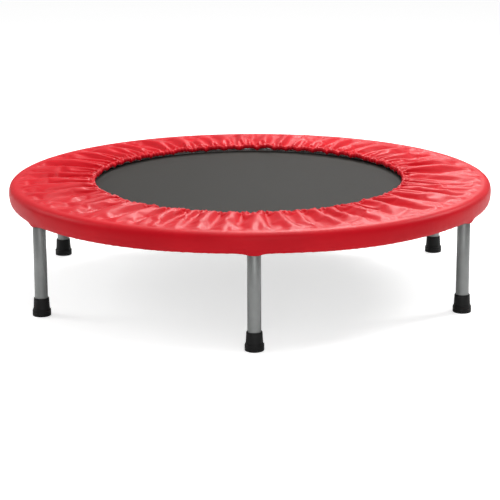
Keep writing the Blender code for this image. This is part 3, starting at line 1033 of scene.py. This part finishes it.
LEG_WALL = 1.3
STUD_CORE, STUD_CREST = 4.15, 4.9
BOOT_TOP_RADIUS = 14.6


def leg_tube_outline(low, shoulder, radius):
    """Tube wall and top plate in one, from the middle of the plate round to its underside."""
    return [
        (4.0, shoulder), (radius - 1.6, shoulder), (radius - 0.5, shoulder - 0.35), (radius, shoulder - 1.3),
        (radius, shoulder - 3.2), (radius - 0.15, shoulder - 3.5), (radius, shoulder - 3.8),
        (radius, (low + shoulder) / 2), (radius, low), (radius - LEG_WALL, low),
        (radius - LEG_WALL, shoulder - 3.0), (0, shoulder - 3.0),
    ]


def threaded_stud(low, high):
    """A stud whose thread is one helical ridge, cut smooth at its tip."""
    columns, per_turn = 32, 8
    rows_count = int((high - low) / THREAD_PITCH * per_turn)
    angles = around(columns)
    radii, heights = [0], [low]
    for k in range(rows_count + 1):
        height = low + (high - low) * k / rows_count
        phase = ((height - low) / THREAD_PITCH - angles / TAU) % 1
        ridge = 1 - np.abs(2 * phase - 1)
        fade = min(1.0, (high - height) / 2.0)
        thread_height = (STUD_CREST - STUD_CORE) * np.clip(1.5 * ridge - 0.25, 0, 1)
        radii.append(STUD_CORE + thread_height * fade - 0.5 * (1 - fade))
        heights.append(height)
    mesh = grid_mesh("stud", on_circle(radii + [0], heights + [high], columns))
    weld(mesh)
    mesh.set_sharp_from_angle(angle=math.radians(50))
    return mesh


def boot_outline(base, top, height):
    """Rubber boot: heavy base flange with a groove round it, then a taper up to a thin rolled lip."""
    return [
        (0, 0.9), (3.5, 0.9), (4.0, 0.2), (7.0, 0.2), (7.5, 0.9), (9.5, 0.9), (10.0, 0.2), (13.0, 0.2),
        (13.5, 0.9), (14.7, 0.9), (15.2, 0), (base - 0.9, 0), (base - 0.25, 0.35), (base, 1.2), (base, 6.1),
        (base - 0.55, 6.6), (base - 0.55, 7.2), (base, 7.7), (base - 0.1, 11.6), (base - 0.7, 12.6),
        (base - 1.7, 12.9), (top + 0.9, 18), (top + 0.2, height - 3), (top, height - 0.9),
        (top - 0.4, height - 0.2), (top - 1.0, height), (12.85, height - 0.3), (12.8, height - 1.2),
        (12.8, 6.05), (0, 6.05),
    ]


def build_legs():
    steel = paint("leg_paint", (0.25, 0.26, 0.255), (0.31, 0.32, 0.315))
    plate, black = zinc(), rubber()
    for number in range(1, LEG_COUNT + 1):
        body, foot_node, washer_node = f"leg_{number}", f"leg_foot_{number}", f"leg_washer_{number}"
        low, high = box_mm(body)
        foot_low, foot_high = box_mm(foot_node)
        washer_low, washer_high = box_mm(washer_node)
        radius = (high[0] - low[0]) / 2
        shoulder = washer_low[2] - 0.3
        place = Matrix.Translation(Vector(((low[0] + high[0]) / 2, (low[1] + high[1]) / 2, 0)) * MM)

        tube = spun("tube", leg_tube_outline(low[2], shoulder, radius), 64, closed=False)
        cap_ends(tube)
        obj = piece(f"leg_tube_{number}", tube, steel, [body])
        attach(placed(obj, place), body)

        stud = threaded_stud(shoulder - 0.6, high[2])
        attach(placed(piece(f"leg_stud_{number}", stud, plate), place), body)

        base, height = (foot_high[0] - foot_low[0]) / 2, foot_high[2]
        boot = spun("boot", boot_outline(base, BOOT_TOP_RADIUS, height), 72, closed=False, sharp=28)
        obj = piece(f"rubber_boot_{number}", boot, black, [foot_node])
        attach(placed(obj, place), body)

        washer = washer_mesh(washer_low[2], washer_high[2])
        obj = piece(f"flat_washer_{number}", washer, plate, [washer_node])
        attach(placed(obj, place), f"washer_{number}")


def washer_mesh(low, high):
    inner, outer, edge = 5.4, 10.0, 0.3
    outline = [(inner, low + edge), (inner + edge, low), (outer - edge, low), (outer, low + edge),
               (outer, high - edge), (outer - edge, high), (inner + edge, high), (inner, high - edge)]
    return spun("washer", outline, 48, sharp=30)


def placed(obj, matrix):
    obj.data.transform(matrix)
    return obj


# ---------------------------------------------------------------- stage, light and camera


def build_stage():
    """A white floor that runs far back, and glows a little, like a lit studio floor."""
    mesh = bpy.data.meshes.new("floor")
    side, back = 12.0, 40.0
    corners = [(-side, -side, 0), (side, -side, 0), (side, back, 0), (-side, back, 0)]
    mesh.from_pydata(corners, [], [(0, 1, 2, 3)])
    floor = bpy.data.objects.new("floor", mesh)
    bpy.context.scene.collection.objects.link(floor)
    finish = Finish("studio_floor", (0.8, 0.8, 0.8), 0.7, Specular_IOR_Level=0.1, Emission_Color=(1, 1, 1, 1))
    finish.rough(finish.noise(40, 3), 0.6, 0.8)
    to_eye = finish.node("ShaderNodeLightPath").outputs["Is Camera Ray"]
    finish.link(finish.spread(to_eye, 0.08, 0.64), finish.shader.inputs["Emission Strength"])
    mesh.materials.append(finish.material)


def area_light(name, place, aim, size, power):
    data = bpy.data.lights.new(name, "AREA")
    data.shape = "RECTANGLE"
    data.size, data.size_y = size
    data.energy = power
    light = bpy.data.objects.new(name, data)
    bpy.context.scene.collection.objects.link(light)
    light.location = place
    light.rotation_euler = (Vector(aim) - Vector(place)).to_track_quat("-Z", "Y").to_euler()


def build_light():
    """A white studio. What the object sees of it is dim in front, and brighter above and behind."""
    world = bpy.data.worlds.new("studio")
    bpy.context.scene.world = world
    world.use_nodes = True
    nodes, links = world.node_tree.nodes, world.node_tree.links
    background = nodes["Background"]
    direction = nodes.new("ShaderNodeTexCoord")
    split = nodes.new("ShaderNodeSeparateXYZ")
    links.new(direction.outputs["Generated"], split.inputs[0])
    glow = nodes.new("ShaderNodeMath")
    glow.operation = "ADD"
    ramps = (("Z", 0.05, 0.9, 0.08, 0.42), ("Y", 0.1, 0.9, 0.0, 0.25))
    for socket, (axis, start, end, dim, bright) in zip(glow.inputs, ramps):
        ramp = nodes.new("ShaderNodeMapRange")
        ramp.interpolation_type = "SMOOTHSTEP"
        for key, value in (("From Min", start), ("From Max", end), ("To Min", dim), ("To Max", bright)):
            ramp.inputs[key].default_value = value
        links.new(split.outputs[axis], ramp.inputs["Value"])
        links.new(ramp.outputs["Result"], socket)
    to_eye = nodes.new("ShaderNodeLightPath")
    choose = nodes.new("ShaderNodeMix")
    links.new(to_eye.outputs["Is Camera Ray"], choose.inputs["Factor"])
    links.new(glow.outputs[0], choose.inputs["A"])
    choose.inputs["B"].default_value = 1.0
    links.new(choose.outputs["Result"], background.inputs["Strength"])
    background.inputs["Color"].default_value = (1, 1, 1, 1)
    area_light("overhead", (0.2, 0.1, 2.4), (0, 0, 0), (2.2, 1.6), 36)
    area_light("back_key", (0.5, 2.5, 2.1), (0, 0, 0.2), (0.9, 0.6), 42)
    area_light("right_key", (2.3, 0.8, 1.9), (0, 0, 0.2), (0.7, 0.7), 31)
    area_light("left_box", (-2.4, 0.4, 1.4), (0, 0, 0.1), (1.0, 1.0), 18)
    area_light("front_fill", (0.3, -3.0, 1.0), (0, 0, 0.1), (2.0, 1.0), 16)


def build_camera():
    """Product view from the front, fifteen degrees above the floor, with a little lens shift."""
    data = bpy.data.cameras.new("camera")
    camera = bpy.data.objects.new("camera", data)
    bpy.context.scene.collection.objects.link(camera)
    distance, elevation, azimuth = 3.540, math.radians(15.40), math.radians(-0.84)
    pitch, roll = math.radians(13), math.radians(-0.25)
    level = distance * math.cos(elevation)
    camera.location = (level * math.sin(azimuth), -level * math.cos(azimuth), distance * math.sin(elevation))
    aim = Vector((-math.sin(azimuth), math.cos(azimuth), -math.tan(pitch)))
    turn = Matrix.Rotation(roll, 3, "Z").to_quaternion()
    camera.rotation_euler = (aim.to_track_quat("-Z", "Y") @ turn).to_euler()
    data.sensor_width = 36
    data.lens = 124.5
    data.shift_y = -0.0831
    data.clip_end = 200
    bpy.context.scene.camera = camera


def main():
    sheet = build_cover()
    build_foam(sheet)
    build_cords(sheet)
    build_mat()
    build_band()
    build_springs()
    build_ring()
    build_legs()
    build_stage()
    build_light()
    build_camera()
    bpy.context.scene.view_settings.view_transform = "Standard"


main()
